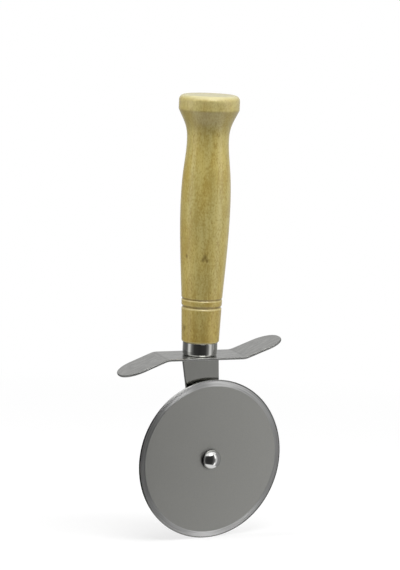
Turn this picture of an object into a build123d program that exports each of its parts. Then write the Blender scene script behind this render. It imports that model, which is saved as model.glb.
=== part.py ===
from build123d import *
import os
from math import cos, radians, sin, sqrt, tan

# Pizza cutter: a turned wooden handle, a metal ferrule, an S-shaped finger guard, and one
# flat steel arm that carries a round blade on a rivet. Millimetres. The origin is the
# centre of the handle's flat end, +Z points out of that end along the handle, the blade
# hangs below, and the blade's front face looks along -Y.

# Wooden handle, from its flat end down to the shoulder that the ferrule meets
wood_length = 113.9
knob_radius = 13.9
knob_rounding = 2.6
knob_side = 4.1
knob_taper_angle = 25.0
knob_ridge_rounding = 2.0
flare_radius = 10.35
neck_radius = 9.6
swell_radius = 10.8
belly_radius = 11.45
taper_radius = 10.48
groove_radius = 9.42
rim_radius = 8.65
rim_rounding = 0.7
groove_pitch = 3.7
upper_groove_depth = 0.4
lower_groove_depth = 0.55
groove_flare_angle = 95.0
flare_share = 0.128
neck_share = 0.184
swell_share = 0.308
belly_share = 0.442
taper_share = 0.676
groove_share = 0.823

# Ferrule, a drawn metal cup over the handle's tenon
ferrule_radius = 8.05
ferrule_height = 6.2
ferrule_wall = 0.5
ferrule_rounding = 0.9
ferrule_fit = 0.05

# Finger guard, a steel strip with one wing folded down and one folded up
guard_width = 20.5
guard_thickness = 1.05
guard_flat = 38.0
wing_length = 21.7
wing_fall_angle = 22.0
wing_rise_angle = 20.7
guard_bend_radius = 14.0
wing_corner_radius = 9.4
guard_turn = -8.4
edge_softening = 0.2

# Arm, one flat steel stamping with a tang above its shoulders
arm_thickness = 1.2
shoulder_width = 19.0
shoulder_shift = 0.4
arm_lean = 6.4
arm_end_radius = 6.5
axle_drop = 49.25
tang_width = 8.0
tang_length = 34.0
tang_fit = 0.1

# Round blade, ground from both sides
blade_radius = 37.5
blade_thickness = 1.0
bevel_width = 3.0
blade_edge = 0.1

# Axle rivet with its spacer and its rear washer
head_radius = 4.75
head_height = 3.7
head_rim = 0.3
shank_radius = 2.5
running_fit = 0.05
side_play = 0.05
spacer_radius = 5.5
spacer_thickness = 2.4
tail_radius = 1.9
washer_radius = 4.4
washer_thickness = 0.8
tail_head_radius = 3.0
tail_head_height = 1.0
tail_fit = 0.05
crown_shoulder_share = 0.6

# Cuts run past a surface by this much
overrun = 2.0

# Levels along the handle's axis, and the stack across the blade, front to back
tenon_radius = ferrule_radius - ferrule_wall - ferrule_fit
tenon_length = ferrule_height - ferrule_wall
guard_top = -(wood_length + ferrule_height)
guard_bottom = guard_top - guard_thickness
tang_top = guard_top + ferrule_wall + tang_length
arm_front = -arm_thickness / 2
arm_back = arm_thickness / 2
spacer_front = arm_front - spacer_thickness
blade_back = spacer_front - side_play
blade_front = blade_back - blade_thickness
head_seat = blade_front - side_play
washer_back = arm_back + washer_thickness
axle_x = shoulder_shift + axle_drop * tan(radians(arm_lean))
axle_z = guard_top - axle_drop


def turned(profile):
    """A solid of revolution about the handle's axis, from a profile in radius and height."""
    return revolve(Plane.XZ * profile, axis=Axis.Z)


def about_axle(profile):
    """A solid of revolution about the axle, from a profile in radius and distance back."""
    axle_plane = Plane(origin=(axle_x, 0, axle_z), x_dir=(1, 0, 0), z_dir=(0, 0, 1))
    axle_line = Axis((axle_x, 0, axle_z), (0, 1, 0))
    return revolve(axle_plane * profile, axis=axle_line)


def ring(inner, outer, front, back):
    """A flat washer about the axle."""
    corners = [(inner, front), (outer, front), (outer, back), (inner, back)]
    return about_axle(make_face(Polyline(*corners, close=True)))


def tang_hole(low, high, fit):
    """The rectangular way that the arm's tang takes through a piece."""
    wide = tang_width + 2 * fit
    thick = arm_thickness + 2 * fit
    return Pos(0, 0, (low + high) / 2) * Box(wide, thick, high - low)


# Handle: the turned outline with its two V-grooves, and the mortise for the tang
def front_taper():
    """How much radius the barrel's straight front end loses for each length."""
    return (groove_radius - rim_radius) / (wood_length * (1 - groove_share))


def front_radius(depth):
    """The radius of the barrel's straight front end."""
    return groove_radius - (depth - groove_share * wood_length) * front_taper()


def groove_points(depth, cut):
    """The upper lip, the bottom and the lower lip of a V-groove."""
    half_mouth = cut * tan(radians(groove_flare_angle / 2))
    upper = depth - half_mouth
    lower = depth + half_mouth
    return [(front_radius(upper), -upper), (front_radius(depth) - cut, -depth), (front_radius(lower), -lower)]


def corner_at(profile, radius, depth):
    """The corner of a turned outline that lies at this radius and depth."""
    spot = Vector(radius, -depth)
    return profile.vertices().sort_by(lambda vertex: (Vector(vertex) - spot).length)[0]


def handle_solid():
    knob_edge = knob_rounding + knob_side
    knob_taper = radians(knob_taper_angle)
    upper_groove = groove_share * wood_length
    grooves = groove_points(upper_groove, upper_groove_depth)
    grooves += groove_points(upper_groove + groove_pitch, lower_groove_depth)
    taper_point = (taper_radius, -taper_share * wood_length)
    end_face = Line((0, 0), (knob_radius - knob_rounding, 0))
    rounding = CenterArc((knob_radius - knob_rounding, -knob_rounding), knob_rounding, 0, 90)
    side = Line((knob_radius, -knob_rounding), (knob_radius, -knob_edge))
    flank = Spline(
        (knob_radius, -knob_edge),
        (flare_radius, -flare_share * wood_length),
        (neck_radius, -neck_share * wood_length),
        (swell_radius, -swell_share * wood_length),
        (belly_radius, -belly_share * wood_length),
        taper_point,
        grooves[0],
        tangents=[(-sin(knob_taper), -cos(knob_taper)), Vector(grooves[0]) - Vector(taper_point)],
    )
    tenon_end = -(wood_length + tenon_length)
    front = Polyline(
        *grooves,
        (rim_radius, -wood_length),
        (tenon_radius, -wood_length),
        (tenon_radius, tenon_end),
        (0, tenon_end),
        (0, 0),
    )
    profile = make_face(end_face + rounding + side + flank + front)
    profile = fillet(corner_at(profile, knob_radius, knob_edge), knob_ridge_rounding)
    profile = fillet(corner_at(profile, rim_radius, wood_length), rim_rounding)
    wood = turned(profile)
    return wood - tang_hole(tenon_end - overrun, tang_top + tang_fit, tang_fit)


# Ferrule: a cup with a rounded foot and a slot in its floor
def ferrule_solid():
    top = -wood_length
    inner = ferrule_radius - ferrule_wall
    corners = [(0, guard_top), (ferrule_radius, guard_top), (ferrule_radius, top), (0, top)]
    cup = turned(make_face(Polyline(*corners, close=True)))
    foot = cup.edges().filter_by(GeomType.CIRCLE).sort_by(Axis.Z)[0]
    cup = fillet(foot, ferrule_rounding)
    floor_top = guard_top + ferrule_wall
    cavity_height = top + overrun - floor_top
    cup -= Pos(0, 0, floor_top + cavity_height / 2) * Cylinder(inner, cavity_height)
    return cup - tang_hole(guard_top - overrun, floor_top + overrun, tang_fit)


# Finger guard: the folded strip, its rounded ends, and a slot wide enough for its turn
def wing_end_cut(fold_x, side, angle):
    """What is cut away round the end of one wing, square to that wing."""
    slope = radians(angle)
    outward = (side * cos(slope), 0, sin(slope))
    upward = (-side * sin(slope), 0, cos(slope))
    tip = (fold_x + wing_length * outward[0], 0, wing_length * outward[2])
    wing_plane = Plane(origin=tip, x_dir=outward, z_dir=upward)
    blank = Pos(-wing_length, 0) * RectangleRounded(2 * wing_length, guard_width, wing_corner_radius)
    cover_length = wing_corner_radius + overrun
    cover = Rectangle(cover_length, guard_width + 2 * overrun)
    cover = Pos(cover_length / 2 - wing_corner_radius, 0) * cover
    return extrude(wing_plane * (cover - blank), amount=guard_thickness + overrun, both=True)


def guard_solid():
    half_flat = guard_flat / 2
    fall = radians(wing_fall_angle)
    rise = radians(wing_rise_angle)
    left_tip = (-half_flat - wing_length * cos(fall), -wing_length * sin(fall))
    right_tip = (half_flat + wing_length * cos(rise), wing_length * sin(rise))
    spine = FilletPolyline(left_tip, (-half_flat, 0), (half_flat, 0), right_tip, radius=guard_bend_radius)
    strip = extrude(Plane.XZ * trace(spine, line_width=guard_thickness), amount=guard_width / 2, both=True)
    strip -= wing_end_cut(-half_flat, -1, -wing_fall_angle)
    strip -= wing_end_cut(half_flat, 1, wing_rise_angle)
    strip = fillet(strip.edges(), edge_softening)
    seat = Pos(0, 0, guard_top - guard_thickness / 2) * Rot(0, 0, guard_turn)
    slot_fit = tang_width * sin(radians(abs(guard_turn))) / 2 + tang_fit
    slot_height = guard_thickness + overrun
    slot = Box(tang_width + 2 * slot_fit, arm_thickness + 2 * slot_fit, slot_height)
    return seat * (strip - slot)


# Arm: the paddle that tapers to a round end, and the tang above its shoulders
def arm_solid():
    left = (shoulder_shift - shoulder_width / 2, guard_bottom)
    right = (shoulder_shift + shoulder_width / 2, guard_bottom)
    end = Pos(axle_x, axle_z) * Circle(arm_end_radius)
    paddle = make_hull(end.edges() + [Line(left, right).edge()])
    tang_height = tang_top - guard_bottom
    tang = Pos(0, guard_bottom + tang_height / 2) * Rectangle(tang_width, tang_height)
    plate = extrude(Plane.XZ * (paddle + tang), amount=arm_thickness / 2, both=True)
    hole = ring(0, tail_radius + tail_fit, arm_front - overrun, arm_back + overrun)
    return plate - hole


# Blade: a disc with a ground bevel on both faces and a hole that runs on the rivet
def blade_solid():
    bore = shank_radius + running_fit
    middle = (blade_front + blade_back) / 2
    flat_radius = blade_radius - bevel_width
    corners = [
        (bore, blade_front),
        (flat_radius, blade_front),
        (blade_radius, middle - blade_edge / 2),
        (blade_radius, middle + blade_edge / 2),
        (flat_radius, blade_back),
        (bore, blade_back),
    ]
    return about_axle(make_face(Polyline(*corners, close=True)))


# Rivet: the domed head, the shank that the blade turns on, and the tail peened at the back
def dome(base_radius, base, height):
    """A full quarter of an ellipse, from a head's upright rim over to its tip, height in front."""
    return EllipticalCenterArc((0, base), base_radius, height, start_angle=-90, arc_size=90)


def crown(base_radius, base, height):
    """The flat arc of a peened head from its base circle to its tip, which stands height from base."""
    rise = abs(height)
    sphere_radius = (base_radius**2 + rise**2) / (2 * rise)
    shoulder_radius = base_radius * crown_shoulder_share
    drop = sphere_radius - sqrt(sphere_radius**2 - shoulder_radius**2)
    shoulder = base + (rise - drop) * height / rise
    return ThreePointArc((base_radius, base), (shoulder_radius, shoulder), (0, base + height))


def rivet_solid():
    rim_front = head_seat - head_rim
    head_tip = head_seat - head_height
    tail_tip = washer_back + tail_head_height
    outline = Polyline(
        (head_radius, rim_front),
        (head_radius, head_seat),
        (shank_radius, head_seat),
        (shank_radius, arm_front),
        (tail_radius, arm_front),
        (tail_radius, washer_back),
        (tail_head_radius, washer_back),
    )
    head = dome(head_radius, rim_front, rim_front - head_tip)
    peened = crown(tail_head_radius, washer_back, tail_head_height)
    axis_line = Line((0, tail_tip), (0, head_tip))
    return about_axle(make_face(head + outline + peened + axis_line))


pieces = {
    "handle": handle_solid(),
    "ferrule": ferrule_solid(),
    "finger_guard": guard_solid(),
    "arm": arm_solid(),
    "blade_wheel": blade_solid(),
    "axle_rivet": rivet_solid(),
    "spacer_washer": ring(shank_radius + running_fit, spacer_radius, spacer_front, arm_front),
    "rear_washer": ring(tail_radius + tail_fit, washer_radius, arm_back, washer_back),
}

os.makedirs("parts", exist_ok=True)
for name, solid in pieces.items():
    export_step(solid, f"parts/{name}.step")
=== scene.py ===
from math import acos, asin, atan2, copysign, cos, hypot, pi, radians, sin, tan

import bmesh
import bpy
import numpy as np
from mathutils import Matrix, Vector


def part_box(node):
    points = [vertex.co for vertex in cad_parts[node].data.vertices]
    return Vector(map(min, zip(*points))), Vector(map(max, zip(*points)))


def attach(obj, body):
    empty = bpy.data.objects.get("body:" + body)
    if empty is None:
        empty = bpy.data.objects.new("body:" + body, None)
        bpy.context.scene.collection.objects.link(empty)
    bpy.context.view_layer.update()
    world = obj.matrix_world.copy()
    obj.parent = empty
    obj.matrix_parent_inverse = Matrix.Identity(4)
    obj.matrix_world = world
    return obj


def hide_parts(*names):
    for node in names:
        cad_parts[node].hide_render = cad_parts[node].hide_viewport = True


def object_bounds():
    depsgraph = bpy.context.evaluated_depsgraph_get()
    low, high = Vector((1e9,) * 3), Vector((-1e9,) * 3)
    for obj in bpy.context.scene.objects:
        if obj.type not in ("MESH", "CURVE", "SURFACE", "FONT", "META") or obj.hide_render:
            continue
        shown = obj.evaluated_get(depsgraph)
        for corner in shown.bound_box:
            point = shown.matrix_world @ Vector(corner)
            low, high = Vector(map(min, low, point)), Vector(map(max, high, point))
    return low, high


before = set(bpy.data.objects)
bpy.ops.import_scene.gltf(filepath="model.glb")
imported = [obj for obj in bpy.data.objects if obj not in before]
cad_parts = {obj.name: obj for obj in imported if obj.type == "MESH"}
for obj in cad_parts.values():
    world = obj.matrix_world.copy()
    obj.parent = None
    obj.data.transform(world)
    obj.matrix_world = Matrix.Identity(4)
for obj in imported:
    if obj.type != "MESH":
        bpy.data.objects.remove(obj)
cad_low, cad_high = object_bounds()


# Handle
# One turned piece of pale, close-grained wood under clear satin lacquer: a flared knob, a waist,
# a swelling barrel and two V-grooves near the front. It is turned between centres, sanded and
# dipped, and its front tenon is pressed into the ferrule.
mm = 0.001
handle_low, handle_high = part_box("handle")
ferrule_low, ferrule_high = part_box("ferrule")
arm_low, arm_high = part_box("arm")
wood_length = -ferrule_high.z
tenon_end = handle_low.z
knob_radius = handle_high.x
knob_rounding = 2.6 * mm
knob_edge = 6.7 * mm
knob_taper = radians(25)
knob_ridge_rounding = 2.0 * mm
# Each station is a share of the wood's length from the knob's end, and the radius there.
flank_stations = (
    (0.128, 10.35 * mm),
    (0.184, 9.6 * mm),
    (0.308, 10.8 * mm),
    (0.442, 11.45 * mm),
    (0.676, 10.48 * mm),
)
flank_step = 1.0 * mm
groove_share = 0.823
groove_radius = 9.42 * mm
groove_pitch = 3.7 * mm
groove_depths = (0.4 * mm, 0.55 * mm)
groove_flare = radians(58)
groove_lip = 0.3 * mm
rim_radius = 8.65 * mm
rim_rounding = 0.7 * mm
tenon_radius = 7.5 * mm
handle_steps = 160
arm_thickness = arm_high.y - arm_low.y
tang_width = 8.0 * mm
mortise_fit = 0.1 * mm
mortise_overrun = 2 * mm
weld = 0.001 * mm
corner_sharp = radians(35)


def add(tree, kind, sockets=None, **settings):
    """A new node in a tree. Sockets are set or linked by name or by number."""
    made = tree.nodes.new(kind)
    for key, value in settings.items():
        setattr(made, key, value)
    for key, value in (sockets or {}).items():
        if isinstance(value, bpy.types.NodeSocket):
            tree.links.new(value, made.inputs[key])
        else:
            made.inputs[key].default_value = value
    return made


def sum_of(tree, operation, *terms):
    """The output of a Math node."""
    return add(tree, "ShaderNodeMath", dict(enumerate(terms)), operation=operation).outputs[0]


def vector_sum(tree, operation, *vectors):
    """The vector that a Vector Math node gives."""
    return add(tree, "ShaderNodeVectorMath", dict(enumerate(vectors)), operation=operation).outputs[0]


def measured(tree, operation, *vectors):
    """The number that a Vector Math node gives, such as a length."""
    return add(tree, "ShaderNodeVectorMath", dict(enumerate(vectors)), operation=operation).outputs["Value"]


def scaled(tree, vector, factor):
    """A vector or a colour times a number."""
    return add(tree, "ShaderNodeVectorMath", {0: vector, "Scale": factor}, operation="SCALE").outputs[0]


def part_of(tree, vector, axis):
    """A vector's X, Y or Z."""
    return add(tree, "ShaderNodeSeparateXYZ", {0: vector}).outputs[axis]


def group_tree(name, kind, taken, given):
    """A node group with named inputs and outputs, each with the form of its socket."""
    tree = bpy.data.node_groups.new(name, kind)
    for way, sockets in (("INPUT", taken), ("OUTPUT", given)):
        for socket, form in sockets.items():
            tree.interface.new_socket(socket, in_out=way, socket_type="NodeSocket" + form)
    return tree


def lathe_tree():
    """Turns an outline, drawn as radius along X and height along Z, about an axis."""
    inputs = {"Outline": "Geometry", "Steps": "Int", "Seat": "Vector", "Axis": "Vector", "Finish": "Material"}
    tree = group_tree("lathe", "GeometryNodeTree", inputs, {"Turned": "Geometry"})
    given = tree.nodes.new("NodeGroupInput").outputs
    outline = given["Outline"]
    axis = given["Axis"]
    count = add(tree, "GeometryNodeAttributeDomainSize", {"Geometry": outline}, component="MESH").outputs[0]
    ring = sum_of(tree, "ADD", given["Steps"], 1.0)
    grid = add(tree, "GeometryNodeMeshGrid", {"Vertices X": count, "Vertices Y": ring}).outputs["Mesh"]
    index = tree.nodes.new("GeometryNodeInputIndex").outputs[0]
    station = sum_of(tree, "FLOOR", sum_of(tree, "DIVIDE", sum_of(tree, "ADD", index, 0.5), ring))
    step = sum_of(tree, "SUBTRACT", index, sum_of(tree, "MULTIPLY", station, ring))

    def drawn(value, form):
        """What the outline holds at this station."""
        sockets = {"Geometry": outline, "Value": value, "Index": station}
        return add(tree, "GeometryNodeSampleIndex", sockets, data_type=form).outputs[0]

    point = drawn(tree.nodes.new("GeometryNodeInputPosition").outputs[0], "FLOAT_VECTOR")
    angle = sum_of(tree, "MULTIPLY", step, sum_of(tree, "DIVIDE", 2 * pi, given["Steps"]))
    across = add(tree, "ShaderNodeCombineXYZ", {"X": sum_of(tree, "COSINE", angle)}).outputs[0]
    side = vector_sum(tree, "CROSS_PRODUCT", axis, (1, 0, 0))
    outward = vector_sum(tree, "ADD", across, scaled(tree, side, sum_of(tree, "SINE", angle)))
    reach = scaled(tree, outward, part_of(tree, point, "X"))
    lift = scaled(tree, axis, part_of(tree, point, "Z"))
    spot = vector_sum(tree, "ADD", vector_sum(tree, "ADD", reach, lift), given["Seat"])
    mark = add(tree, "GeometryNodeInputNamedAttribute", {"Name": "mark"}, data_type="FLOAT").outputs[0]
    shape = add(tree, "GeometryNodeStoreNamedAttribute", {
        "Geometry": grid, "Name": "mark", "Value": drawn(mark, "FLOAT")}, data_type="FLOAT", domain="POINT")
    shape = add(tree, "GeometryNodeSetPosition", {"Geometry": shape.outputs[0], "Position": spot})
    shape = add(tree, "GeometryNodeMergeByDistance", {"Geometry": shape.outputs[0], "Distance": weld})
    shape = add(tree, "GeometryNodeRealizeInstances", {"Geometry": shape.outputs[0]})
    shape = add(tree, "GeometryNodeSetMaterial", {"Geometry": shape.outputs[0], "Material": given["Finish"]})
    add(tree, "NodeGroupOutput", {"Turned": shape.outputs[0]})
    return tree


def rounded(corners):
    """An outline of (radius, height, mark) points, from corners that may give a rounding as well."""
    facet = radians(9)
    hem = 0.06 * mm
    points = []
    for number, (radius, height, mark, rounding) in enumerate(corners):
        corner = Vector((radius, height))
        if not rounding:
            points.append((radius, height, mark))
            continue
        back = (Vector(corners[number - 1][:2]) - corner).normalized()
        ahead = (Vector(corners[(number + 1) % len(corners)][:2]) - corner).normalized()
        half = acos(max(-1.0, min(1.0, back.dot(ahead)))) / 2
        reach = rounding / tan(half)
        centre = corner + (back + ahead).normalized() * rounding / sin(half)
        steps = max(3, round((pi - 2 * half) / facet))
        start = corner + back * reach
        finish = corner + ahead * reach
        points.append((*(start + back * hem), 0.0))
        sweep = copysign(pi - 2 * half, back.cross(ahead))
        first = atan2(start.y - centre.y, start.x - centre.x)
        for step in range(steps + 1):
            turn = first - sweep * step / steps
            points.append((centre.x + rounding * cos(turn), centre.y + rounding * sin(turn), mark))
        points.append((*(finish + ahead * hem), 0.0))
    return points


def placed(name, data):
    """A new object in the scene, at the origin."""
    piece = bpy.data.objects.new(name, data)
    bpy.context.scene.collection.objects.link(piece)
    return piece


def finished(piece, sharp=corner_sharp):
    """A plain mesh object from one with modifiers, its faces pointing out, at the origin."""
    graph = bpy.context.evaluated_depsgraph_get()
    mesh = bpy.data.meshes.new_from_object(piece.evaluated_get(graph))
    name = piece.name
    bpy.data.objects.remove(piece)
    shell = bmesh.new()
    shell.from_mesh(mesh)
    bmesh.ops.remove_doubles(shell, verts=shell.verts, dist=weld)
    bmesh.ops.recalc_face_normals(shell, faces=shell.faces)
    shell.to_mesh(mesh)
    shell.free()
    mesh.name = name
    mesh.shade_smooth()
    mesh.set_sharp_from_angle(angle=sharp)
    return placed(name, mesh)


lathe = lathe_tree()


def turned(name, points, steps, finish, seat=(0, 0, 0), axis=(0, 0, 1)):
    """An outline's points turned about an axis, as an object with its modifier still live."""
    mesh = bpy.data.meshes.new(name)
    mesh.from_pydata([(radius, 0, height) for radius, height, _ in points], [], [])
    mesh.attributes.new("mark", "FLOAT", "POINT").data.foreach_set("value", [mark for *_, mark in points])
    piece = placed(name, mesh)
    turning = piece.modifiers.new("turning", "NODES")
    turning.node_group = lathe
    values = {"Steps": steps, "Seat": seat, "Axis": axis, "Finish": finish}
    for item in lathe.interface.items_tree:
        if item.name in values:
            turning[item.identifier] = values[item.name]
    return piece


def tang_way(fit, height):
    """The size of a straight way for the arm's tang, with a clearance all round."""
    return tang_width + 2 * fit, arm_thickness + 2 * fit, height


def cut_way(piece, centre, size, turn=0.0):
    """Cuts a straight-sided way, turned about the handle's axis, and removes the cutter."""
    block = bmesh.new()
    bmesh.ops.create_cube(block, size=1)
    bmesh.ops.scale(block, vec=size, verts=block.verts)
    mesh = bpy.data.meshes.new("way")
    block.to_mesh(mesh)
    block.free()
    cutter = placed("way", mesh)
    cutter.location = centre
    cutter.rotation_euler.z = turn
    bpy.context.view_layer.update()
    cut = piece.modifiers.new("way", "BOOLEAN")
    cut.operation = "DIFFERENCE"
    cut.solver = "EXACT"
    cut.object = cutter
    plain = finished(piece)
    bpy.data.objects.remove(cutter)
    bpy.data.meshes.remove(mesh)
    return plain


def flank_points():
    """The clamped cubic through the flank's stations, as (radius, height)."""
    taper_end = groove_share * wood_length - groove_depths[0] * tan(groove_flare)
    depths = np.array([knob_edge] + [share * wood_length for share, _ in flank_stations] + [taper_end])
    radii = np.array([knob_radius] + [radius for _, radius in flank_stations] + [groove_radius])
    gaps = np.diff(depths)
    falls = np.diff(radii) / gaps
    count = len(depths)
    system = np.eye(count)
    slopes = np.zeros(count)
    slopes[0] = -tan(knob_taper)
    slopes[-1] = falls[-1]
    for row in range(1, count - 1):
        before, after = gaps[row - 1:row + 1]
        system[row, row - 1:row + 2] = (1 / before, 2 / before + 2 / after, 1 / after)
        slopes[row] = 3 * (falls[row - 1] / before + falls[row] / after)
    slopes = np.linalg.solve(system, slopes)
    points = []
    for span in range(count - 1):
        steps = max(2, round(gaps[span] / flank_step))
        for step in range(steps):
            t = step / steps
            start = radii[span] * (1 + 2 * t) * (1 - t) ** 2 + slopes[span] * gaps[span] * t * (1 - t) ** 2
            finish = radii[span + 1] * t * t * (3 - 2 * t) - slopes[span + 1] * gaps[span] * t * t * (1 - t)
            points.append((float(start + finish), -float(depths[span] + t * gaps[span])))
    return points


def front_radius(depth):
    """The radius of the barrel's straight front end."""
    fall = (groove_radius - rim_radius) / (wood_length * (1 - groove_share))
    return groove_radius - (depth - groove_share * wood_length) * fall


def handle_outline():
    """From the knob's end to the tenon's. Marks are 1 in the grooves' bottoms, darkened as dirt and painted
    shade, and -1 on their lower flanks and the rim's rounding, lightened as bare wood and painted highlight.
    """
    corners = [(0, 0, 0, 0), (knob_radius, 0, 0, knob_rounding)]
    flank = flank_points()
    corners.append((*flank[0], 0, knob_ridge_rounding))
    corners += [(radius, height, 0, 0) for radius, height in flank[1:]]
    for number, cut in enumerate(groove_depths):
        depth = groove_share * wood_length + number * groove_pitch
        half_mouth = cut * tan(groove_flare)
        corners.append((front_radius(depth - half_mouth), half_mouth - depth, 0, groove_lip))
        corners.append((front_radius(depth - half_mouth / 2) - cut / 2, half_mouth / 2 - depth, 1, 0))
        corners.append((front_radius(depth) - cut, -depth, 1, groove_lip))
        corners.append((front_radius(depth + half_mouth / 2) - cut / 2, -half_mouth / 2 - depth, -1, 0))
        corners.append((front_radius(depth + half_mouth), -half_mouth - depth, -1, groove_lip))
    corners.append((rim_radius, -wood_length, -1, rim_rounding))
    corners += [(tenon_radius, -wood_length, 0, 0), (tenon_radius, tenon_end, 0, 0), (0, tenon_end, 0, 0)]
    return rounded(corners)


wood_pale = (0.505, 0.42, 0.14, 1)
wood_tan = (0.38, 0.285, 0.066, 1)
wood_dark = (0.21, 0.14, 0.02, 1)
wood_fleck = (0.14, 0.09, 0.01, 1)
# Of the colours below, the bare one is also a painted highlight, the end one is painted light from above, the
# flare one is painted shade, and the front tint is painted shade toward the front end.
wood_bare_and_lit = (0.62, 0.53, 0.24, 1)
wood_lit_top = (0.53, 0.49, 0.27, 1)
wood_underside_shade = (0.24, 0.175, 0.035, 1)
cool_tint = (0.99, 1.02, 1.10, 1)
warm_tint = (1.01, 0.98, 0.86, 1)
front_shade_tint = (0.88, 0.81, 0.62, 1)
front_share = 0.703
pale_from = -9 * mm
pale_to = -2 * mm
pale_share = 0.3
groove_dirt_and_shade = 0.8
lip_bare_and_lit = 0.7
pore_from = 0.40
pore_to = 0.28
pore_share = 0.3
drift_from = 0.33
drift_to = 0.67
flare_from = -0.08
flare_to = -0.42
flare_share = 0.42
end_from = 0.35
end_to = 0.97
end_share = 0.85
fibre_scale = 1300.0
fibre_stretch = 0.15
patch_scale = 220.0
patch_stretch = 0.3
speckle_scale = 1500.0
speckle_stretch = 0.6
drift_scale = 150.0
ring_scale = 110.0
pith_place = (21 * mm, -34 * mm, 0)
pith_lean = (0.03, 0.05, 0)
fleck_stretch = 0.65
fleck_core = 0.4
fleck_reach = 1.5
fleck_share = 0.7
wood_smooth = 0.40
wood_rough_swing = 0.2
wood_relief = 0.04 * mm
lacquer_roughness = 0.26
# Each fleck is its place on the wood and its size.
flecks = (
    ((-10.2 * mm, -2.8 * mm, -73.4 * mm), 0.6 * mm),
    ((-4.5 * mm, -9.6 * mm, -73.4 * mm), 0.9 * mm),
    ((-5.4 * mm, -9.1 * mm, -74.6 * mm), 0.6 * mm),
    ((-3.6 * mm, -9.9 * mm, -74.9 * mm), 0.6 * mm),
    ((-8.9 * mm, -0.3 * mm, -107.0 * mm), 0.8 * mm),
)


def new_finish(name):
    """A material, its node tree and its shader."""
    material = bpy.data.materials.new(name)
    material.use_nodes = True
    return material, material.node_tree, material.node_tree.nodes["Principled BSDF"]


def coordinates(tree, kind="Object"):
    return tree.nodes.new("ShaderNodeTexCoord").outputs[kind]


def stretched(tree, place, stretch):
    """A place drawn out or in along X, Y and Z, for a grain that runs one way."""
    return add(tree, "ShaderNodeMapping", {"Vector": place, "Scale": stretch}).outputs[0]


def noise(tree, place, scale, detail, **more):
    sockets = {"Vector": place, "Scale": scale, "Detail": detail, **more}
    return add(tree, "ShaderNodeTexNoise", sockets).outputs["Fac"]


def mapped(tree, value, low, high, start=0.0, end=1.0, shape="LINEAR"):
    """Goes from start to end as the value goes from low to high, and is held beyond them."""
    sockets = {"Value": value, "From Min": low, "From Max": high, "To Min": start, "To Max": end}
    return add(tree, "ShaderNodeMapRange", sockets, interpolation_type=shape).outputs[0]


def colour_mix(tree, share, under, over, **settings):
    """One colour laid over another by a share."""
    sockets = {0: share, 6: under, 7: over}
    return add(tree, "ShaderNodeMix", sockets, data_type="RGBA", **settings).outputs[2]


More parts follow.
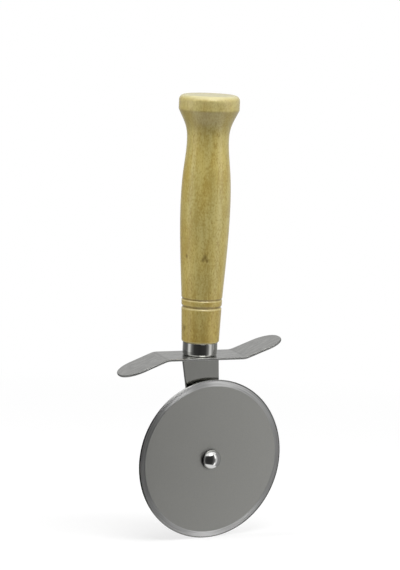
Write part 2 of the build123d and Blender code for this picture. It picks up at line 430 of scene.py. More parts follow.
def wood_finish():
    """Patches, fibres, pores and faint growth rings, grooves darkened by dirt and painted shade, dark flecks,
    satin lacquer, and painted light and shade by height and by which way a face turns.
    """
    material, tree, shader = new_finish("lacquered_wood")
    place = coordinates(tree)
    height = part_of(tree, place, "Z")
    facing = part_of(tree, coordinates(tree, "Normal"), "Z")
    groove = add(tree, "ShaderNodeAttribute", attribute_name="mark").outputs["Fac"]
    shorter = stretched(tree, place, (1, 1, patch_stretch))
    patches = noise(tree, shorter, patch_scale, 3.0)
    fibre = noise(tree, stretched(tree, place, (1, 1, fibre_stretch)), fibre_scale, 4.0)
    speckle = noise(tree, stretched(tree, place, (1, 1, speckle_stretch)), speckle_scale, 2.0)
    pith = add(tree, "ShaderNodeMapping", {"Vector": place, "Location": pith_place, "Rotation": pith_lean})
    rings = add(tree, "ShaderNodeTexWave", {
        "Vector": pith.outputs[0], "Scale": ring_scale, "Distortion": 2.2, "Detail": 2.0,
        "Detail Scale": 0.6}, wave_type="RINGS", rings_direction="Z", wave_profile="SAW").outputs["Fac"]
    tone = 0.0
    for grain, contrast, lift in (
        (patches, 2.1, -0.75),
        (fibre, 1.4, -0.7),
        (speckle, 2.4, -1.2),
        (rings, 0.25, 0.08),
    ):
        tone = sum_of(tree, "ADD", tone, sum_of(tree, "MULTIPLY_ADD", grain, contrast, lift))
    colour = colour_mix(tree, tone, wood_tan, wood_pale)
    colour = colour_mix(tree, mapped(tree, speckle, pore_from, pore_to, end=pore_share), colour, wood_dark)
    drift = mapped(tree, noise(tree, shorter, drift_scale, 2.0), drift_from, drift_to)
    tint = colour_mix(tree, drift, cool_tint, warm_tint)
    colour = colour_mix(tree, 1.0, colour, tint, blend_type="MULTIPLY")
    # Painted shade: the front part of the wood is darkened and warmed toward the guard, where the light falls
    # off.
    shaded_front = mapped(tree, height, -front_share * wood_length, -wood_length)
    tinted = colour_mix(tree, 1.0, colour, front_shade_tint, blend_type="MULTIPLY")
    colour = colour_mix(tree, shaded_front, colour, tinted)
    # The groove bottoms are darkened, partly as dirt and partly as painted shade in the recesses.
    colour = colour_mix(tree, sum_of(tree, "MULTIPLY", groove, groove_dirt_and_shade), colour, wood_dark)
    # The grooves' lower flanks and the rim's rounding are lightened, partly as bare wood and partly as a
    # painted highlight where they face the light from above.
    colour = colour_mix(tree, sum_of(tree, "MULTIPLY", groove, -lip_bare_and_lit), colour, wood_bare_and_lit)
    # Painted light: the wood turns paler toward the knob's end, nearest the light from above.
    lit_knob = mapped(tree, height, pale_from, pale_to, end=pale_share)
    colour = colour_mix(tree, lit_knob, colour, wood_lit_top)
    # Painted shade: faces turned downward, as under the knob's ridge, are darkened.
    shaded_underside = mapped(tree, facing, flare_from, flare_to, end=flare_share)
    colour = colour_mix(tree, shaded_underside, colour, wood_underside_shade)
    # Painted light: faces turned upward, such as the knob's end, are paler, as light from above falls on
    # them.
    lit_upward = mapped(tree, facing, end_from, end_to, end=end_share, shape="SMOOTHSTEP")
    colour = colour_mix(tree, lit_upward, colour, wood_lit_top)
    for fleck, size in flecks:
        gap = vector_sum(tree, "MULTIPLY", vector_sum(tree, "SUBTRACT", place, fleck), (1, 1, fleck_stretch))
        away = measured(tree, "LENGTH", gap)
        spot = mapped(tree, away, size * fleck_core, size * fleck_reach, fleck_share, 0.0)
        colour = colour_mix(tree, spot, colour, wood_fleck)
    tree.links.new(colour, shader.inputs["Base Color"])
    rough = sum_of(tree, "MULTIPLY_ADD", fibre, wood_rough_swing, wood_smooth)
    tree.links.new(rough, shader.inputs["Roughness"])
    relief = add(tree, "ShaderNodeBump", {"Height": fibre, "Strength": 0.3, "Distance": wood_relief})
    tree.links.new(relief.outputs[0], shader.inputs["Normal"])
    shader.inputs["Coat Weight"].default_value = 1.0
    shader.inputs["Coat Roughness"].default_value = lacquer_roughness
    return material


handle = turned("turned_handle", handle_outline(), handle_steps, wood_finish())
mortise_high = arm_high.z + mortise_fit
mortise_low = tenon_end - mortise_overrun
mortise_size = tang_way(mortise_fit, mortise_high - mortise_low)
handle = cut_way(handle, (0, 0, (mortise_low + mortise_high) / 2), mortise_size)
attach(handle, "frame")
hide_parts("handle")


# Ferrule
# A short cup drawn from thin sheet, polished and chromed, with a rounded foot that sits on the
# guard and a slot in its floor for the arm's tang. It is pushed over the handle's tenon.
ferrule_radius = ferrule_high.x
ferrule_wall = 0.5 * mm
ferrule_foot = 0.9 * mm
ferrule_lip = 0.4 * mm
ferrule_inner = ferrule_radius - ferrule_wall
ferrule_floor = ferrule_low.z + ferrule_wall
ferrule_steps = 128
grain_relief = 0.02 * mm
round_stretch = 0.04
cloud_scale = 90.0
worn_from = 0.3
worn_to = 0.7


def steel_grain_group():
    """Fine grain and handling marks that every bare or plated metal here shares."""
    inputs = {
        "Place": "Vector", "Grain Scale": "Float", "Base": "Color", "Grain Tone": "Float",
        "Smooth": "Float", "Rough": "Float"}
    outputs = {"Color": "Color", "Roughness": "Float", "Height": "Float"}
    tree = group_tree("metal_grain", "ShaderNodeTree", inputs, outputs)
    given = tree.nodes.new("NodeGroupInput").outputs
    grain = noise(tree, given["Place"], given["Grain Scale"], 4.0)
    cloud = noise(tree, given["Place"], cloud_scale, 3.0, Roughness=0.6)
    swing = sum_of(tree, "MULTIPLY", sum_of(tree, "SUBTRACT", grain, 0.5), given["Grain Tone"])
    colour = scaled(tree, given["Base"], sum_of(tree, "ADD", swing, 1.0))
    worn = sum_of(tree, "MULTIPLY_ADD", grain, 0.5, sum_of(tree, "MULTIPLY", cloud, 0.5))
    rough = mapped(tree, worn, worn_from, worn_to, given["Smooth"], given["Rough"])
    add(tree, "NodeGroupOutput", {"Color": colour, "Roughness": rough, "Height": grain})
    return tree


metal_grain = steel_grain_group()


def metal_finish(name, base, smooth, rough, scale=2500.0, stretch=(1, 1, 1), tone=0.1, relief=0.0,
                 ground=False):
    """A metal with the shared grain. A ground one has its grain and highlights drawn round the axle."""
    material, tree, shader = new_finish(name)
    shader.inputs["Metallic"].default_value = 1.0
    spot = coordinates(tree)
    if ground:
        gap = vector_sum(tree, "MULTIPLY", vector_sum(tree, "SUBTRACT", spot, axle), (1, 0, 1))
        outward = add(tree, "ShaderNodeCombineXYZ", {"Y": measured(tree, "LENGTH", gap)}).outputs[0]
        spot = vector_sum(tree, "ADD", scaled(tree, gap, round_stretch), outward)
        round_axis = add(tree, "ShaderNodeTangent", direction_type="RADIAL", axis="Y").outputs[0]
        tree.links.new(round_axis, shader.inputs["Tangent"])
        shader.inputs["Anisotropic"].default_value = 1.0
        shader.inputs["Anisotropic Rotation"].default_value = 0.25
    grain = add(tree, "ShaderNodeGroup", {
        "Place": stretched(tree, spot, stretch), "Grain Scale": scale, "Base": base, "Grain Tone": tone,
        "Smooth": smooth, "Rough": rough}, node_tree=metal_grain).outputs
    tree.links.new(grain["Color"], shader.inputs["Base Color"])
    tree.links.new(grain["Roughness"], shader.inputs["Roughness"])
    if relief:
        bump = add(tree, "ShaderNodeBump", {
            "Height": grain["Height"], "Strength": relief, "Distance": grain_relief}).outputs[0]
        tree.links.new(bump, shader.inputs["Normal"])
    return material


ferrule_chrome = metal_finish("ferrule_chrome", (0.62, 0.62, 0.592, 1), smooth=0.04, rough=0.08, tone=0.03)
ferrule_corners = [
    (0, ferrule_low.z, 0, 0),
    (ferrule_radius, ferrule_low.z, 0, ferrule_foot),
    (ferrule_radius, ferrule_high.z, 1, ferrule_lip),
    (ferrule_inner, ferrule_high.z, 0, 0),
    (ferrule_inner, ferrule_floor, 0, ferrule_foot - ferrule_wall),
    (0, ferrule_floor, 0, 0),
]
ferrule = turned("ferrule_cup", rounded(ferrule_corners), ferrule_steps, ferrule_chrome)
ferrule = cut_way(ferrule, (0, 0, ferrule_floor), tang_way(mortise_fit, 4 * ferrule_wall))
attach(ferrule, "frame")
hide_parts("ferrule")


# Finger guard
# A strip of polished sheet steel with round ends, pierced in the middle for the tang. One wing is
# folded down and one up, so that a finger can press on either side. Its sheared edges are tumbled.
guard_width = 20.5 * mm
guard_thickness = 1.05 * mm
guard_half_flat = 19.0 * mm
wing_length = 21.7 * mm
wing_fall = radians(22)
wing_rise = radians(20.7)
guard_bend = 9.0 * mm
wing_corner = 9.4 * mm
guard_turn = radians(-8.4)
guard_edge = 0.3 * mm
guard_hem = 0.1 * mm
guard_step = 0.6 * mm
guard_middle = ferrule_low.z - guard_thickness / 2
slot_fit = 0.68 * mm
slot_height = 4 * mm
edge_mark = 0.3


def bent_strip(distance, angle):
    """Place along X, rise along Z and slope at a distance from the middle of one bent half."""
    start = guard_half_flat - guard_bend * tan(angle / 2)
    if distance <= start:
        return distance, 0.0, 0.0
    turn = min((distance - start) / guard_bend, angle)
    out = start + guard_bend * sin(turn)
    up = guard_bend * (1 - cos(turn))
    rest = distance - start - guard_bend * turn
    return out + rest * cos(turn), up + rest * sin(turn), turn


def developed_half(angle):
    """The length of one half of the strip before it is bent."""
    lost = guard_bend * tan(angle / 2)
    return guard_half_flat - lost + guard_bend * angle + wing_length - lost


def guard_edge_points(inset):
    """One long edge of the flat strip, from tip to tip, as (along, across), drawn in by inset."""
    left = developed_half(wing_fall)
    right = developed_half(wing_rise)
    radius = wing_corner - inset
    straight = guard_width / 2 - wing_corner
    length = left + right - 2 * wing_corner
    corner_steps = 24
    points = []
    for step in range(corner_steps + 1):
        turn = radians(90) * step / corner_steps
        points.append((-left + wing_corner - radius * cos(turn), straight + radius * sin(turn)))
    steps = round(length / guard_step)
    for step in range(1, steps):
        points.append((-left + wing_corner + length * step / steps, straight + radius))
    for step in range(corner_steps + 1):
        turn = radians(90) * (1 - step / corner_steps)
        points.append((right - wing_corner + radius * cos(turn), straight + radius * sin(turn)))
    return points


def guard_mesh():
    """The strip in rings from its top face over the tumbled edge to its bottom face, then bent."""
    edge_steps = 5
    half = guard_thickness / 2
    levels = [(guard_edge + guard_hem, half, 0.0)]
    for step in range(edge_steps + 1):
        turn = radians(90) * step / edge_steps
        fallen = guard_edge * (1 - cos(turn))
        levels.append((guard_edge * (1 - sin(turn)), half - fallen, step / edge_steps))
    levels += [(inset, -height, mark) for inset, height, mark in reversed(levels)]
    shell = bmesh.new()
    marks = shell.verts.layers.float.new("mark")
    rings = []
    for inset, height, mark in levels:
        edge = guard_edge_points(inset)
        loop = edge + [(along, -across) for along, across in reversed(edge)]
        ring = []
        for along, across in loop:
            side = 1 if along > 0 else -1
            out, up, slope = bent_strip(abs(along), wing_rise if along > 0 else wing_fall)
            up *= side
            spot = Vector((side * out - height * sin(slope), across, up + height * cos(slope)))
            vertex = shell.verts.new(spot)
            vertex[marks] = mark
            ring.append(vertex)
        rings.append(ring)
    size = len(rings[0])
    for upper, lower in zip(rings, rings[1:]):
        for number in range(size):
            ahead = (number + 1) % size
            shell.faces.new((upper[number], upper[ahead], lower[ahead], lower[number]))
    for ring in (rings[0], rings[-1]):
        for number in range(size // 2 - 1):
            far = size - 1 - number
            shell.faces.new((ring[number], ring[number + 1], ring[far - 1], ring[far]))
    mesh = bpy.data.meshes.new("guard")
    shell.to_mesh(mesh)
    shell.free()
    return mesh


def dress(piece, finish, chosen):
    """Gives the faces that a test picks out another finish."""
    piece.data.materials.append(finish)
    for face in piece.data.polygons:
        if chosen(face):
            face.material_index = len(piece.data.materials) - 1


guard_steel = metal_finish(
    "guard_steel", (0.545, 0.545, 0.527, 1), smooth=0.17, rough=0.27, scale=500.0, stretch=(0.4, 1, 1),
    tone=0.75, relief=0.06)
# The sheared edges and the arm's sides are rougher, and their colour is also painted darker, as painted shade
# along the edges.
sheared_and_shaded_steel = metal_finish("sheared_and_shaded_steel", (0.35, 0.35, 0.34, 1), smooth=0.5, rough=0.62, tone=0.2)
crease_dim = (0.86, 0.86, 0.86, 1)
crease_half = 0.9 * mm
crease_core = 0.2 * mm


def crease(material):
    """Darkens the steel's colour along its two folds."""
    tree = material.node_tree
    base = tree.nodes["Principled BSDF"].inputs["Base Color"]
    straight = add(tree, "ShaderNodeMapping", {
        "Vector": coordinates(tree), "Rotation": (0, 0, -guard_turn)}).outputs[0]
    out = sum_of(tree, "ABSOLUTE", part_of(tree, straight, "X"))
    off = sum_of(tree, "ABSOLUTE", sum_of(tree, "SUBTRACT", out, guard_half_flat))
    near = mapped(tree, off, crease_half, crease_core)
    plain = base.links[0].from_socket
    tree.links.new(colour_mix(tree, near, plain, crease_dim, blend_type="MULTIPLY"), base)


def sheared(face):
    """Whether a face of the guard lies on its sheared edge."""
    return all(guard_marks[corner].value > edge_mark for corner in face.vertices)


crease(guard_steel)
guard = placed("finger_guard_strip", guard_mesh())
guard.data.transform(Matrix.Rotation(guard_turn, 4, "Z"))
guard.data.transform(Matrix.Translation((0, 0, guard_middle)))
guard.data.materials.append(guard_steel)
guard = cut_way(guard, (0, 0, guard_middle), tang_way(slot_fit, slot_height), guard_turn)
guard_marks = guard.data.attributes["mark"].data
dress(guard, sheared_and_shaded_steel, sheared)
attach(guard, "frame")
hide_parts("finger_guard")


# Arm
# A flat stamping of satin rolled steel, bright enough to mirror the back of the blade. Its tang goes
# up through the guard and the ferrule into the handle, its shoulders hold the guard up against the
# ferrule, and its round end carries the rivet.
blade_low, blade_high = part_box("blade_wheel")
axle = (blade_low + blade_high) / 2
shoulder_width = 19.0 * mm
shoulder_shift = 0.4 * mm
arm_end_radius = 6.5 * mm
arm_end_steps = 48
guard_bottom = guard_middle - guard_thickness / 2
tail_radius = 1.9 * mm
running_gap = 0.05 * mm
tail_hole = tail_radius + running_gap
drill_reach = 2 * mm
drill_steps = 48
arm_edge = 0.14 * mm
arm_edge_from = radians(50)
# How much of a face's normal lies along Y, where the face is flat and where it is nearly so.
flat_on = 0.99
nearly_flat_on = 0.9


def tangent_angle(corner, side):
    """The angle, seen from the axle, at which a line from a corner touches the arm's round end."""
    away = Vector((corner[0] - axle.x, corner[1] - axle.z))
    return atan2(away.y, away.x) + side * acos(arm_end_radius / away.length)


def arm_outline():
    """The stamping's outline as (x, z), anticlockwise from the tang's upper left corner."""
    left = (shoulder_shift - shoulder_width / 2, guard_bottom)
    right = (shoulder_shift + shoulder_width / 2, guard_bottom)
    half = tang_width / 2
    start = tangent_angle(left, 1)
    finish = tangent_angle(right, -1) + 2 * pi
    points = [(-half, arm_high.z), (-half, guard_bottom), left]
    for step in range(arm_end_steps + 1):
        turn = start + (finish - start) * step / arm_end_steps
        points.append((axle.x + arm_end_radius * cos(turn), axle.z + arm_end_radius * sin(turn)))
    return points + [right, (half, guard_bottom), (half, arm_high.z)]


def arm_mesh():
    """The outline as sheet, as thick as the arm."""
    shell = bmesh.new()
    face = shell.faces.new([shell.verts.new((x, arm_low.y, z)) for x, z in arm_outline()])
    raised = bmesh.ops.extrude_face_region(shell, geom=[face])
    moved = [item for item in raised["geom"] if isinstance(item, bmesh.types.BMVert)]
    bmesh.ops.translate(shell, vec=(0, arm_thickness, 0), verts=moved)
    bmesh.ops.recalc_face_normals(shell, faces=shell.faces)
    mesh = bpy.data.meshes.new("arm")
    shell.to_mesh(mesh)
    shell.free()
    return mesh


def on_axle(name, points, steps, finish, sharp=corner_sharp):
    """A piece turned about the rivet's axis."""
    return finished(turned(name, points, steps, finish, (axle.x, 0, axle.z), (0, 1, 0)), sharp)


arm_steel = metal_finish(
    "arm_steel", (0.58, 0.58, 0.546, 1), smooth=0.07, rough=0.12, scale=1400.0, stretch=(1, 1, 0.1),
    tone=0.14, relief=0.01)
arm = placed("arm_stamping", arm_mesh())
arm.data.materials.append(arm_steel)
drill_corners = [
    (0, -drill_reach, 0, 0),
    (tail_hole, -drill_reach, 0, 0),
    (tail_hole, drill_reach, 0, 0),
    (0, drill_reach, 0, 0),
]
drill = on_axle("drill", rounded(drill_corners), drill_steps, arm_steel)
bored = arm.modifiers.new("bored", "BOOLEAN")
bored.operation = "DIFFERENCE"
bored.solver = "EXACT"
bored.object = drill
tumbled = arm.modifiers.new("tumbled", "BEVEL")
tumbled.width = arm_edge
tumbled.segments = 3
tumbled.limit_method = "ANGLE"
tumbled.angle_limit = arm_edge_from
arm = finished(arm)
bpy.data.objects.remove(drill)
for face in arm.data.polygons:
    face.use_smooth = abs(face.normal.y) < flat_on
dress(arm, sheared_and_shaded_steel, lambda face: abs(face.normal.y) < nearly_flat_on)
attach(arm, "frame")
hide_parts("arm")


# Blade wheel
# A disc of hardened steel with ground satin faces, and a bevel ground from both sides and honed to a fine
# edge all round. Its back is left duller, and its back bevel is painted dark as painted shade for the narrow
# gap against the arm; the honed rim is painted dark too, a painted dark line along the edge. Its hole runs on
# the rivet's shank.
blade_radius = (blade_high.x - blade_low.x) / 2
bevel_width = 3.0 * mm
blade_bore = 2.55 * mm
blade_steps = 256
blade_sharp = radians(5)
edge_land = 0.1 * mm
bore_break = 0.1 * mm
flat_radius = blade_radius - bevel_width
hone_width = 0.6 * mm
hone_radius = blade_radius - hone_width
hone_rise = edge_land / 2 + ((blade_high.y - blade_low.y) / 2 - edge_land / 2) * hone_width / bevel_width
hone_lean = 0.4
crown_lean = 0.035
blade_steel = metal_finish(
    "blade_steel", (0.46, 0.46, 0.436, 1), smooth=0.40, rough=0.46, scale=1800.0, tone=0.16, relief=0.03)
bevel_steel = metal_finish(
    "bevel_steel", (0.565, 0.565, 0.56, 1), smooth=0.27, rough=0.33, scale=1200.0, tone=1.2, ground=True)
back_steel = metal_finish(
    "back_steel", (0.44, 0.44, 0.42, 1), smooth=0.50, rough=0.60, scale=1800.0, tone=0.16)
# The back bevel's colour is painted dark, as painted shade for the narrow gap between the blade and the arm.
back_bevel_painted_dark = metal_finish("back_bevel_painted_dark", (0.22, 0.22, 0.21, 1), smooth=0.30, rough=0.36)
# The honed rim's colour is painted dark, a painted dark line along the edge.
rim_painted_dark = metal_finish("rim_painted_dark", (0.2, 0.2, 0.195, 1), smooth=0.24, rough=0.30)
blade_corners = [
    (blade_bore, blade_low.y, 0, bore_break),
    (flat_radius, blade_low.y, 0, 0),
    (hone_radius, axle.y - hone_rise, 0, 0),
    (blade_radius, axle.y - edge_land / 2, 1, 0),
    (blade_radius, axle.y + edge_land / 2, 1, 0),
    (hone_radius, axle.y + hone_rise, 0, 0),
    (flat_radius, blade_high.y, 0, 0),
    (blade_bore, blade_high.y, 0, bore_break),
]
blade_outline = rounded(blade_corners)
blade_outline.append(blade_outline[0])


def off_axle(face):
    """How far a face's middle lies from the rivet's axis."""
    return hypot(face.center.x - axle.x, face.center.z - axle.z)


def lean_outward(mesh):
    """Shades the flats as slightly crowned and the outermost rim as honed to a steeper angle."""
    normals = [corner.vector.copy() for corner in mesh.corner_normals]
    for face in mesh.polygons:
        away = off_axle(face)
        if abs(face.normal.y) < nearly_flat_on or flat_radius < away < hone_radius:
            continue
        for loop in face.loop_indices:
            spot = mesh.vertices[mesh.loops[loop].vertex_index].co - axle
            spot.y = 0
            lean = spot * crown_lean / flat_radius if away < flat_radius else spot.normalized() * hone_lean
            normals[loop] = (face.normal + lean).normalized()
    mesh.normals_split_custom_set(normals)


blade = on_axle("blade_disc", blade_outline, blade_steps, blade_steel, blade_sharp)
dress(blade, bevel_steel, lambda face: off_axle(face) > flat_radius)
dress(blade, back_steel, lambda face: face.center.y > axle.y)
dress(blade, back_bevel_painted_dark, lambda face: face.center.y > axle.y and off_axle(face) > flat_radius)
dress(blade, rim_painted_dark, lambda face: off_axle(face) > hone_radius)
lean_outward(blade.data)
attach(blade, "blade")
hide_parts("blade_wheel")


# Rivet and washers
# A domed, polished head in front, its lower flank next to the blade left duller and painted nearly black as
# painted shade in the crevice, a shank that the blade turns on, a spacer that keeps the blade clear of the
# arm, and behind the arm a thin washer with the tail peened over it.
rivet_low, rivet_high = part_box("axle_rivet")
spacer_low, spacer_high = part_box("spacer_washer")
washer_low, washer_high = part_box("rear_washer")
head_radius = (rivet_high.x - rivet_low.x) / 2
head_rim = 0.3 * mm
head_seat = blade_low.y - running_gap
head_steps = 24
flank_height = 1.0 * mm
shank_radius = 2.5 * mm
tail_head_radius = 3.0 * mm
tail_steps = 10
rivet_break = 0.12 * mm
rivet_steps = 96
washer_break = 0.12 * mm
washer_steps = 64


def dome(base_radius, base, tip, steps):
    """Points of a full quarter of an ellipse, from a head's upright rim over to its tip."""
    points = []
    for step in range(1, steps + 1):
        turn = pi / 2 * step / steps
        points.append((base_radius * cos(turn), base + (tip - base) * sin(turn), 0, 0))
    return points


def crown(base_radius, base, tip, steps):
    """Points of a flat round head from its base circle to its tip."""
    rise = abs(tip - base)
    sphere = (base_radius ** 2 + rise ** 2) / (2 * rise)
    sweep = asin(base_radius / sphere)
    points = []
    for step in range(1, steps + 1):
        turn = sweep * (1 - step / steps)
        height = rise - sphere * (1 - cos(turn))
        points.append((sphere * sin(turn), base + height * (tip - base) / rise, 0, 0))
    return points


head_dome = dome(head_radius, head_seat - head_rim, rivet_low.y, head_steps)
tail_crown = crown(tail_head_radius, washer_high.y, rivet_high.y, tail_steps)
rivet_corners = list(reversed(head_dome)) + [
    (head_radius, head_seat - head_rim, 0, 0),
    (head_radius, head_seat, 1, head_rim),
    (shank_radius, head_seat, 0, 0),
    (shank_radius, arm_low.y, 0, 0),
    (tail_radius, arm_low.y, 0, 0),
    (tail_radius, washer_high.y, 0, 0),
    (tail_head_radius, washer_high.y, 0, rivet_break),
] + tail_crown
rivet_steel = metal_finish("rivet_steel", (0.57, 0.57, 0.56, 1), smooth=0.02, rough=0.04, tone=0.03)
# The head's lower flank next to the blade is painted nearly black, as painted shade in the crevice.
flank_painted_dark = metal_finish("flank_painted_dark", (0.07, 0.07, 0.07, 1), smooth=0.34, rough=0.4)
rivet = on_axle("rivet", rounded(rivet_corners), rivet_steps, rivet_steel)
dress(rivet, flank_painted_dark, lambda face: head_seat - flank_height < face.center.y < head_seat)
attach(rivet, "frame")
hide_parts("axle_rivet")

washer_steel = metal_finish("washer_steel", (0.56, 0.56, 0.54, 1), smooth=0.2, rough=0.34, tone=0.12)
for name, node, bore, low, high in (
    ("spacer", "spacer_washer", blade_bore, spacer_low, spacer_high),
    ("tail_washer", "rear_washer", tail_hole, washer_low, washer_high),
):
    outer = (high.x - low.x) / 2
    washer_corners = [
        (bore, low.y, 0, 0),
        (outer, low.y, 1, washer_break),
        (outer, high.y, 1, washer_break),
        (bore, high.y, 0, 0),
        (bore, low.y, 0, 0),
    ]
    washer = on_axle(name, rounded(washer_corners), washer_steps, washer_steel)
    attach(washer, "frame")
    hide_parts(node)


# Camera
# It stands where the photograph was taken from: to the left of the blade's face, a little above,
# and turned slightly about its own axis.
view_azimuth = radians(-29.35)
view_elevation = radians(8.85)
view_roll = radians(2.22)
view_distance = 1.1096
view_limit = 50
view_focal_px = 2400
picture_height_px = 570
sensor = 36.0
guard_seat = Vector((0, 0, ferrule_low.z))
aim_rise = 32.04 * mm
aim_shift = 0.17 * mm


def toward(azimuth, elevation):
    """The direction at an azimuth from the camera's own and at an elevation, in degrees."""
    turn = view_azimuth + radians(azimuth)
    rise = radians(elevation)
    return Vector((sin(turn) * cos(rise), -cos(turn) * cos(rise), sin(rise)))


back = Vector((
    sin(view_azimuth) * cos(view_elevation),
    -cos(view_azimuth) * cos(view_elevation),
    sin(view_elevation),
))
level =Vector((cos(view_azimuth), sin(view_azimuth), 0))
upright = back.cross(level)
right = level * cos(view_roll) + upright * sin(view_roll)
up = upright * cos(view_roll) - level * sin(view_roll)
camera_data = bpy.data.cameras.new("camera")
camera_data.sensor_width = sensor
camera_data.lens = view_focal_px / picture_height_px * sensor
camera_data.clip_end = view_limit
camera = placed("camera", camera_data)
bpy.context.scene.camera = camera
pose = Matrix((right, up, back)).transposed().to_4x4()
pose.translation = guard_seat + right * aim_shift + up * aim_rise + back * view_distance
camera.matrix_world = pose


# Studio
# A white floor, two tall soft boxes to the sides and one overhead. Polished metal mirrors the dark
# open front that the camera looks through, a bright roof with a strong lamp in it, a bright column
# on the right and a dimmer wall on the left.
bpy.context.scene.view_settings.view_transform = "Standard"
middle = Vector((0, 0, (cad_low.z + cad_high.z) / 2))
for name, azimuth, elevation, distance, width, height, watts in (
    ("left_box", -76, 16, 1.0, 0.35, 1.0, 7.2),
    ("right_box", 76, 16, 1.0, 0.35, 1.0, 7.0),
    ("top_box", 10, 78, 0.62, 0.5, 0.5, 4.0),
):
    lamp = bpy.data.lights.new(name, "AREA")
    lamp.shape = "RECTANGLE"
    lamp.size = width
    lamp.size_y = height
    lamp.energy = watts
    box = placed(name, lamp)
    box.location = middle + toward(azimuth, elevation) * distance
    box.rotation_mode = "QUATERNION"
    box.rotation_quaternion = toward(azimuth, elevation).to_track_quat("Z", "Y")
    box.visible_glossy = False

# Places in the mirrored studio are in degrees from the camera's own direction, or from the lamp's
# for lamp_rim. Each of round_levels is a place and its brightness. Any other pair is a soft edge,
# from where it is 0 to where it is 1, and top_back's is the share of the way toward the camera.
window_wide = radians(60)
window_high = radians(60)
window_drop = radians(8)
window_reach = radians(75)
window_corner = 3.0
round_levels = (
    (0, 0.034), (38, 0.05), (54, 0.18), (62, 0.38), (69, 0.85), (79, 0.85), (88, 0.34), (112, 0.36),
    (150, 0.52), (168, 0.54))
left_edges = ((-84, -96), (-160, -140))
left_share = 0.42
column_edges = ((56, 61), (74, 69))
column_ends = ((-4, 10), (-20, -34))
column_level = 1.85
top_from = (33, 37)
top_back = (-0.2, 0.0)
top_level = 1.3
lamp_way = toward(22, 45)
lamp_rim = (19, 13)
lamp_level = 5.5
low_from = (-44, -49)
low_level = 1.1
hall_level = 0.16


def soft_edge(tree, value, low, high):
    """Rises smoothly from 0 to 1 as the value goes from low to high degrees."""
    return mapped(tree, value, radians(low), radians(high), shape="SMOOTHSTEP")


def both_edges(tree, operation, value, edges):
    """Two soft edges, multiplied for what lies between them or added for what lies beyond."""
    return sum_of(tree, operation, *[soft_edge(tree, value, *ends) for ends in edges])


def level_mix(tree, share, under, over):
    """One brightness laid over another by a share."""
    return add(tree, "ShaderNodeMix", {0: share, 2: under, 3: over}).outputs[0]


world = bpy.data.worlds.new("studio")
bpy.context.scene.world = world
world.use_nodes = True
tree = world.node_tree
sky = tree.nodes["Background"]
path = tree.nodes.new("ShaderNodeLightPath").outputs
heading = coordinates(tree, "Generated")
ahead = measured(tree, "DOT_PRODUCT", heading, toward(0, 0))
aside = measured(tree, "DOT_PRODUCT", heading, toward(90, 0))
bearing = sum_of(tree, "ARCTAN2", aside, ahead)
azimuth = sum_of(tree, "ABSOLUTE", bearing)
elevation = sum_of(tree, "ARCSINE", part_of(tree, heading, "Z"))
wide = sum_of(tree, "POWER", sum_of(tree, "DIVIDE", azimuth, window_wide), window_corner)
high = sum_of(tree, "DIVIDE", sum_of(tree, "ADD", elevation, window_drop), window_high)
high = sum_of(tree, "POWER", sum_of(tree, "ABSOLUTE", high), window_corner)
reach = sum_of(tree, "POWER", sum_of(tree, "ADD", wide, high), 1 / window_corner)
reach = sum_of(tree, "MINIMUM", sum_of(tree, "MULTIPLY", reach, window_wide), window_reach)
round_place = sum_of(tree, "MAXIMUM", azimuth, reach)
bands = add(tree, "ShaderNodeValToRGB", {0: sum_of(tree, "DIVIDE", round_place, pi)})
stops = bands.color_ramp.elements
stops.remove(stops[1])
for number, (degrees_round, brightness) in enumerate(round_levels):
    stop = stops.new(degrees_round / 180) if number else stops[0]
    stop.color = (brightness, brightness, brightness, 1)
wall = bands.outputs["Color"]
left = both_edges(tree, "MULTIPLY", bearing, left_edges)
tent = level_mix(tree, left, wall, sum_of(tree, "MULTIPLY", wall, left_share))
column = both_edges(tree, "MULTIPLY", bearing, column_edges)
column = sum_of(tree, "MULTIPLY", column, both_edges(tree, "ADD", elevation, column_ends))
above = sum_of(tree, "MULTIPLY", soft_edge(tree, elevation, *top_from), mapped(tree, ahead, *top_back))
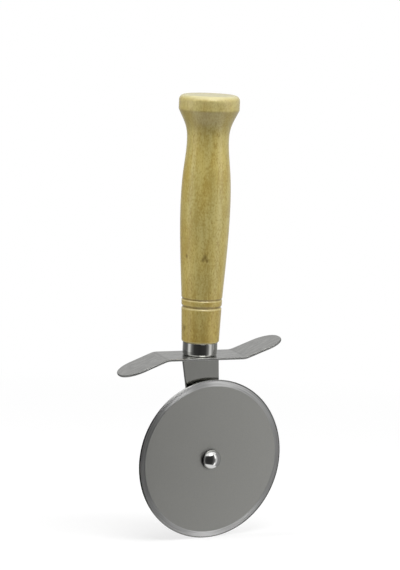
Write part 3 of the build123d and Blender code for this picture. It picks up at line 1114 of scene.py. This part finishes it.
off_lamp = sum_of(tree, "ARCCOSINE", measured(tree, "DOT_PRODUCT", heading, lamp_way))
lamp_lit = sum_of(tree, "MULTIPLY", soft_edge(tree, off_lamp, *lamp_rim), above)
below = soft_edge(tree, elevation, *low_from)
for share, brightness in (
    (column, column_level),
    (above, top_level),
    (lamp_lit, lamp_level),
    (below, low_level),
):
    tent = level_mix(tree, share, tent, brightness)
mirrored = sum_of(tree, "MAXIMUM", path["Is Glossy Ray"], path["Is Transmission Ray"])
level_seen = level_mix(tree, mirrored, hall_level, tent)
level_seen = level_mix(tree, path["Is Camera Ray"], level_seen, 1.0)
tree.links.new(level_seen, sky.inputs["Strength"])
sky.inputs["Color"].default_value = (1, 1, 1, 1)

floor_half = 6.0
paper_grey = (0.55, 0.55, 0.55, 1)
white = (1, 1, 1, 1)
shadow_core = 0.12
shadow_reach = 0.45
core_glow = 0.55
floor_corners = [(x * floor_half, y * floor_half, cad_low.z) for x, y in ((-1, -1), (1, -1), (1, 1), (-1, 1))]
floor_mesh = bpy.data.meshes.new("floor")
floor_mesh.from_pydata(floor_corners, [], [(0, 1, 2, 3)])
floor = placed("floor", floor_mesh)
floor_white = bpy.data.materials.new("floor_white")
floor_white.use_nodes = True
tree = floor_white.node_tree
tree.nodes.clear()
path = tree.nodes.new("ShaderNodeLightPath").outputs
paper = add(tree, "ShaderNodeBsdfDiffuse", {"Color": paper_grey}).outputs[0]
paper_seen = add(tree, "ShaderNodeBsdfDiffuse", {"Color": white}).outputs[0]
glow = add(tree, "ShaderNodeEmission", {"Color": white, "Strength": 1.0}).outputs[0]
from_middle = measured(tree, "LENGTH", coordinates(tree))
fade = mapped(tree, from_middle, shadow_core, shadow_reach, core_glow)
lit = add(tree, "ShaderNodeMixShader", {0: fade, 1: paper_seen, 2: glow}).outputs[0]
shown = add(tree, "ShaderNodeMixShader", {0: path["Is Camera Ray"], 1: paper, 2: lit}).outputs[0]
add(tree, "ShaderNodeOutputMaterial", {"Surface": shown})
floor_mesh.materials.append(floor_white)
floor.visible_glossy = False
